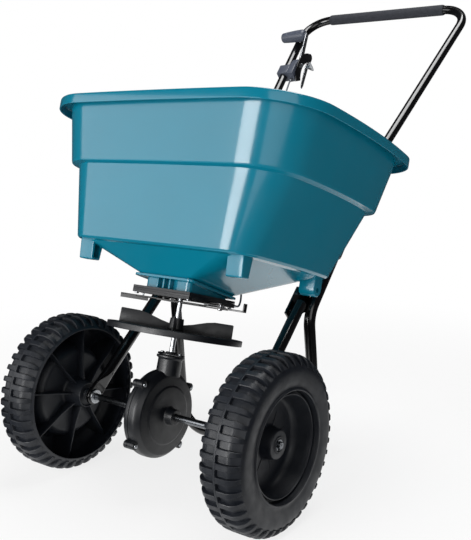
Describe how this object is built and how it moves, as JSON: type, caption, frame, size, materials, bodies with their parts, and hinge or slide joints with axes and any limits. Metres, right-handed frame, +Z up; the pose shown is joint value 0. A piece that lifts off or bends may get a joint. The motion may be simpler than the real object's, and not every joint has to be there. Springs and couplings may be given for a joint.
{
  "type": "broadcast spreader",
  "caption": "Walk-behind broadcast spreader with an open teal hopper, a geared spinner below it, solid wheels, a folded tube stand and a push handle with a flow lever.",
  "frame": {"origin": "on the ground under the middle of the object's length and width, 367 mm behind the axle; the object stands at rest on its wheels and its stand", "axes": "+X along the axle towards the driven wheel, -Y towards the spinner and the front of the hopper, +Y towards the handle, +Z up"},
  "size_m": [0.612, 1.039, 0.9626],
  "materials": {
    "hopper_polyethylene": "glossy moulded polyethylene, teal",
    "black_powder_coat": "gloss black powder coat on steel tube and sheet",
    "moulded_black": "matt black moulded nylon",
    "wheel_plastic": "charcoal blow-moulded wheel, satin",
    "zinc_plate": "bright zinc plate",
    "bright_steel": "plain bright steel bar",
    "grey_plastic": "slate grey moulded plastic",
    "foam_grip": "closed-cell foam sleeve",
    "cable_sheath": "grey vinyl cable sheath"
  },
  "bodies": {
    "chassis": {"hopper": "hopper_polyethylene", "outlet_plate": "moulded_black", "gate_guide": "moulded_black", "cable_anchor": "zinc_plate", "outlet_screw_1": "zinc_plate", "outlet_screw_2": "zinc_plate", "outlet_screw_3": "zinc_plate", "outlet_screw_4": "zinc_plate", "slide_hanger_left": "black_powder_coat", "slide_hanger_right": "black_powder_coat", "slide_screw_left": "zinc_plate", "slide_screw_right": "zinc_plate", "gearbox_left": "moulded_black", "gearbox_right": "moulded_black", "gearbox_cap": "moulded_black", "gearbox_screw_1": "zinc_plate", "gearbox_screw_2": "zinc_plate", "gearbox_screw_3": "zinc_plate", "gearbox_screw_4": "zinc_plate", "cap_screw_1": "zinc_plate", "cap_screw_2": "zinc_plate", "axle_bush_left": "zinc_plate", "axle_bush_right": "zinc_plate", "axle_washer_left": "zinc_plate", "axle_washer_right": "zinc_plate", "frame_strut_left": "black_powder_coat", "frame_strut_right": "black_powder_coat", "frame_plate_left": "black_powder_coat", "frame_plate_right": "black_powder_coat", "lug_bolt_left": "zinc_plate", "lug_bolt_right": "zinc_plate", "strut_bolt_left": "zinc_plate", "strut_bolt_right": "zinc_plate", "stand_frame": "black_powder_coat", "handle_frame": "black_powder_coat", "handle_collar_left": "black_powder_coat", "handle_collar_right": "black_powder_coat", "handle_grip": "foam_grip", "control_bracket": "grey_plastic", "quadrant_plate": "black_powder_coat", "pivot_bolt": "zinc_plate", "control_cable": "cable_sheath"},
    "drive": {"axle": "bright_steel", "ring_gear": "moulded_black", "hub_pin": "zinc_plate", "axle_clip_left": "bright_steel", "axle_clip_right": "bright_steel", "wheel_right": "wheel_plastic"},
    "left_wheel": {"wheel_left": "wheel_plastic"},
    "spinner_drive": {"spinner": "moulded_black", "spinner_shaft": "zinc_plate", "pinion_gear": "bright_steel", "agitator": "zinc_plate"},
    "gate": {"flow_gate": "zinc_plate"},
    "lever": {"lever_arm": "zinc_plate", "lever_knob": "grey_plastic"},
    "slide": {"pattern_slide": "black_powder_coat"},
    "stop": {"rate_stop": "zinc_plate"},
    "stop_nut": {"wing_nut": "zinc_plate"}
  },
  "joints": [
    {"name": "drive_spin", "type": "hinge", "parent": "chassis", "child": "drive", "pos_m": [0, -0.3671, 0.1524], "axis": [1, 0, 0], "continuous": true},
    {"name": "left_wheel_spin", "type": "hinge", "parent": "chassis", "child": "left_wheel", "pos_m": [0, -0.3671, 0.1524], "axis": [1, 0, 0], "continuous": true},
    {"name": "spinner_spin", "type": "hinge", "parent": "chassis", "child": "spinner_drive", "pos_m": [0, -0.3671, 0.1524], "axis": [0, 0.2823, 0.9593], "continuous": true},
    {"name": "lever_swing", "type": "hinge", "parent": "chassis", "child": "lever", "pos_m": [-0.2022, 0.3728, 0.824], "axis": [0.9943, 0.078, 0.0733], "range_deg": [0, 40]},
    {"name": "gate_travel", "type": "slide", "parent": "chassis", "child": "gate", "axis": [0, 0.9593, -0.2823], "range_m": [0, 0.03]},
    {"name": "pattern_trim", "type": "slide", "parent": "chassis", "child": "slide", "axis": [1, 0, 0], "range_m": [-0.015, 0.015]},
    {"name": "stop_set", "type": "hinge", "parent": "chassis", "child": "stop", "pos_m": [-0.2022, 0.3728, 0.824], "axis": [0.9943, 0.078, 0.0733], "range_deg": [-30, 15]},
    {"name": "stop_nut_turn", "type": "hinge", "parent": "stop", "child": "stop_nut", "pos_m": [-0.16566, 0.40539, 0.82443], "axis": [0.9943, 0.078, 0.0733], "continuous": true}
  ],
  "couplings": [
    {"joint": "spinner_spin", "follows": "drive_spin", "ratio": 6},
    {"joint": "gate_travel", "follows": "lever_swing", "m_per_rad": 0.04297}
  ]
}
